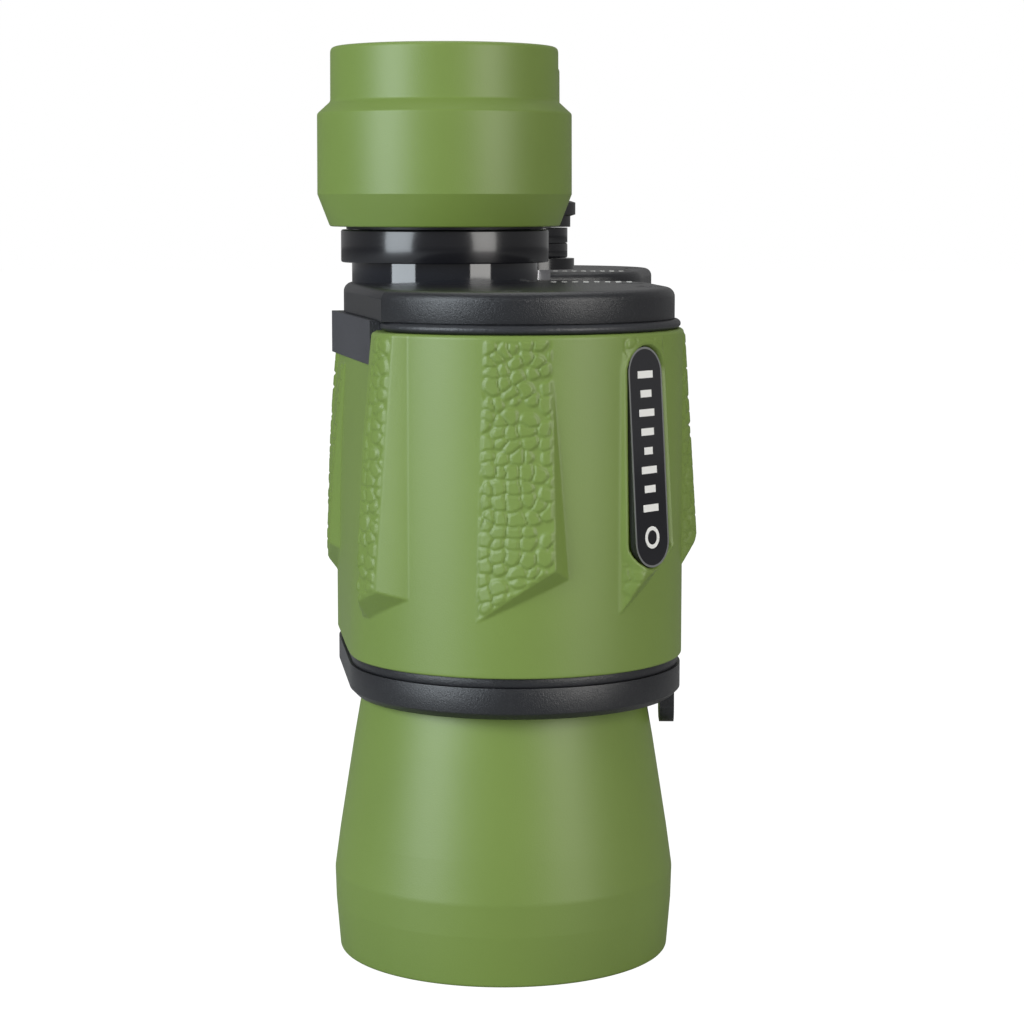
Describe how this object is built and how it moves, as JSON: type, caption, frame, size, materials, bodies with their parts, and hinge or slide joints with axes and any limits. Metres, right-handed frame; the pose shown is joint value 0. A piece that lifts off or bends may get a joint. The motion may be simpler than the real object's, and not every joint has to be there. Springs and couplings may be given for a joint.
{
  "type": "porro prism binocular",
  "caption": "Centre-focus Porro-prism binocular in ribbed green rubber armour, with folding hinge, focus wheel, dioptre eyepiece and tripod socket.",
  "frame": {"origin": "midway between the two objective axes in the plane of the hood rims, under the middle of the whole body", "axes": "+Z towards the eyepieces along the optical axes, +X towards the user's right barrel, +Y towards the user's top side"},
  "size_m": [0.1738, 0.0622, 0.1443],
  "materials": {
    "green_rubber": "matte moulded rubber, olive green",
    "gloss_black_label": "gloss",
    "satin_black_plate": "fine textured satin black paint",
    "grey_casting": "matt grey paint with a fine sand texture",
    "black_enamel": "semi-gloss black enamel",
    "polished_black": "polished",
    "matt_black_tube": "matt black anodised",
    "coated_glass": "anti-reflection coated",
    "clear_glass": "polished",
    "black_gasket": "satin",
    "dark_steel": "blackened",
    "spring_steel": "bright",
    "spindle_steel": "ground",
    "brass": "turned",
    "black_plastic": "fine matt",
    "black_rubber": "knurled"
  },
  "bodies": {
    "right_barrel": {"right_prism_housing": "grey_casting", "right_armour": "green_rubber", "right_badge": "gloss_black_label", "right_front_ring": "satin_black_plate", "right_front_trim": "satin_black_plate", "right_hood": "green_rubber", "right_objective_tube": "matt_black_tube", "right_lens_retaining_ring": "matt_black_tube", "right_objective_lens": "coated_glass", "right_cover_bead": "black_gasket", "right_cover_plate": "satin_black_plate", "right_cover_screws": "dark_steel", "right_objective_prism": "clear_glass", "right_eyepiece_prism": "clear_glass", "right_prism_clips": "spring_steel", "right_prism_shelf": "grey_casting", "hinge_tube": "black_enamel", "hinge_washers": "brass", "tripod_socket": "brass", "wheel_circlip": "spring_steel"},
    "left_barrel": {"left_prism_housing": "grey_casting", "left_armour": "green_rubber", "left_badge": "gloss_black_label", "left_front_ring": "satin_black_plate", "left_front_trim": "satin_black_plate", "left_hood": "green_rubber", "left_objective_tube": "matt_black_tube", "left_lens_retaining_ring": "matt_black_tube", "left_objective_lens": "coated_glass", "left_cover_bead": "black_gasket", "left_cover_plate": "satin_black_plate", "left_cover_screws": "dark_steel", "left_objective_prism": "clear_glass", "left_eyepiece_prism": "clear_glass", "left_prism_clips": "spring_steel", "left_prism_shelf": "grey_casting"},
    "focus_wheel": {"focus_wheel_core": "black_plastic", "focus_wheel_grip": "black_rubber"},
    "focus_carriage": {"focus_spindle": "spindle_steel", "spindle_collar": "black_enamel", "spindle_cap": "black_plastic", "right_bridge_arm": "black_enamel", "right_eyepiece_tube": "polished_black"},
    "right_ocular": {"right_ocular_housing": "matt_black_tube", "right_eyecup": "green_rubber"},
    "right_lens_group": {"right_lens_cell": "matt_black_tube", "right_eye_lens": "coated_glass", "right_field_lens": "coated_glass"},
    "left_ocular": {"left_bridge_arm": "black_enamel", "left_eyepiece_tube": "polished_black", "left_ocular_housing": "matt_black_tube", "left_eyecup": "green_rubber", "left_lens_cell": "matt_black_tube", "left_eye_lens": "coated_glass", "left_field_lens": "coated_glass"}
  },
  "joints": [
    {"name": "fold", "type": "hinge", "parent": "right_barrel", "child": "left_barrel", "pos_m": [0, 0.003, 0.07], "axis": [0, 0, 1], "range_deg": [-40, 32]},
    {"name": "focus_turn", "type": "hinge", "parent": "right_barrel", "child": "focus_wheel", "pos_m": [0, 0.003, 0.097], "axis": [0, 0, 1], "range_deg": [-160.5, 360.5]},
    {"name": "right_focus_slide", "type": "slide", "parent": "right_barrel", "child": "focus_carriage", "axis": [0, 0, 1], "range_m": [-0.0024, 0.0054]},
    {"name": "left_focus_slide", "type": "slide", "parent": "left_barrel", "child": "left_ocular", "axis": [0, 0, 1], "range_m": [-0.00241, 0.00541]},
    {"name": "dioptre_turn", "type": "hinge", "parent": "focus_carriage", "child": "right_ocular", "pos_m": [0.033, -0.00995, 0.12], "axis": [0, 0, 1], "range_deg": [-40, 40]},
    {"name": "dioptre_shift", "type": "slide", "parent": "focus_carriage", "child": "right_lens_group", "axis": [0, 0, 1], "range_m": [-0.00082, 0.00082]}
  ],
  "couplings": [
    {"joint": "focus_turn", "follows": "right_focus_slide", "rad_per_m": 1163.6},
    {"joint": "left_focus_slide", "follows": "right_focus_slide", "ratio": 1},
    {"joint": "dioptre_shift", "follows": "dioptre_turn", "m_per_rad": 0.001146}
  ]
}
